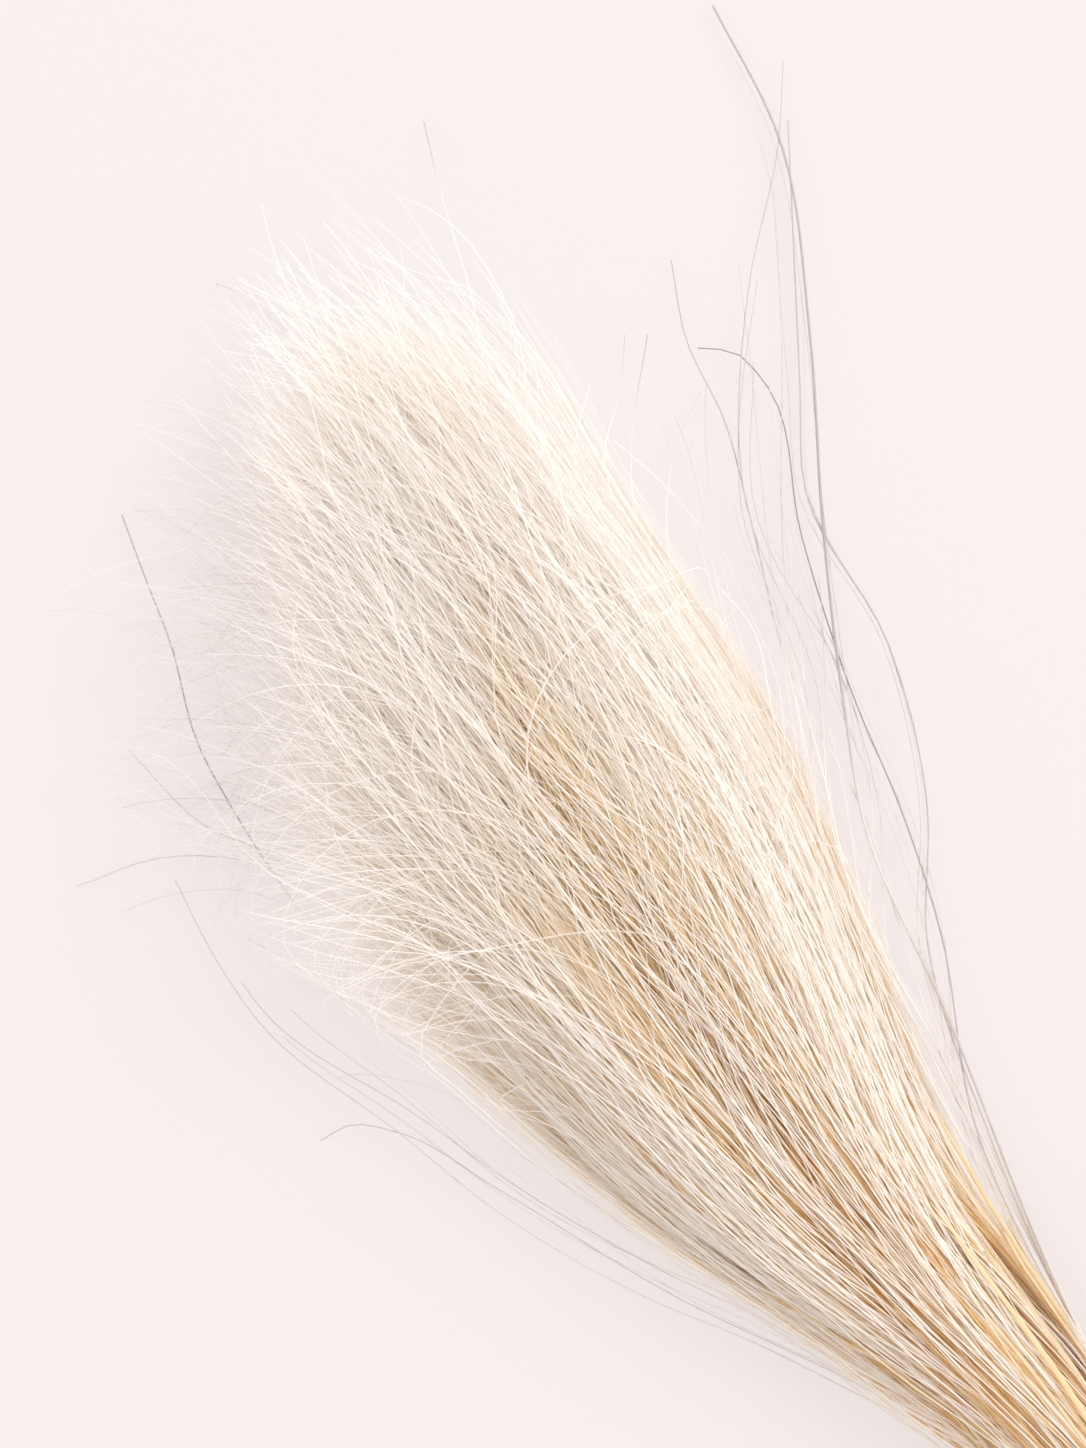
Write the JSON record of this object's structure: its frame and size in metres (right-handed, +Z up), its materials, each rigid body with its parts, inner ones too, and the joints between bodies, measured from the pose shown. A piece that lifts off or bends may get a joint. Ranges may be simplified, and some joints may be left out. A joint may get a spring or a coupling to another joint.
{
  "type": "bundle of feather grass",
  "caption": "Lying bundle of dried feather grass: thin straw stalks tied with twine that open into one long, soft, pale plume.",
  "frame": {"origin": "on the surface that the bundle lies on, under the middle of the bundle's bounding box", "axes": "+X along the bundle from the cut ends to the plume tips, +Z up from the surface, +Y to the left of someone looking along +X"},
  "size_m": [0.5486, 0.221, 0.0471],
  "materials": {
    "dried_plume": "dry silky grass, straw gold at the stalk to cream white at the tips, slightly translucent",
    "twine": "matte twisted natural jute"
  },
  "bodies": {
    "root": {"stem_01": "dried_plume", "stem_02": "dried_plume", "stem_03": "dried_plume", "stem_04": "dried_plume", "stem_05": "dried_plume", "stem_06": "dried_plume", "stem_07": "dried_plume", "stem_08": "dried_plume", "stem_09": "dried_plume", "stem_10": "dried_plume", "stem_11": "dried_plume", "stem_12": "dried_plume", "stem_13": "dried_plume", "stem_14": "dried_plume", "stem_15": "dried_plume", "stem_16": "dried_plume", "stem_17": "dried_plume", "stem_18": "dried_plume", "stem_19": "dried_plume", "stem_20": "dried_plume", "stem_21": "dried_plume", "stem_22": "dried_plume", "stem_23": "dried_plume", "stem_24": "dried_plume", "stem_25": "dried_plume", "stem_26": "dried_plume", "stem_27": "dried_plume", "stem_28": "dried_plume", "stem_29": "dried_plume", "stem_30": "dried_plume", "stem_31": "dried_plume", "stem_32": "dried_plume", "stem_33": "dried_plume", "stem_34": "dried_plume", "stem_35": "dried_plume", "stem_36": "dried_plume", "stem_37": "dried_plume", "stem_38": "dried_plume", "stem_39": "dried_plume", "stem_40": "dried_plume", "stem_41": "dried_plume", "stem_42": "dried_plume", "stem_43": "dried_plume", "stem_44": "dried_plume", "stem_45": "dried_plume", "stem_46": "dried_plume", "stem_47": "dried_plume", "stem_48": "dried_plume", "stray_left_1": "dried_plume", "stray_left_2": "dried_plume", "stray_left_3": "dried_plume", "stray_right_1": "dried_plume", "stray_right_2": "dried_plume", "stray_right_3": "dried_plume", "twine_tie": "twine"}
  },
  "joints": []
}
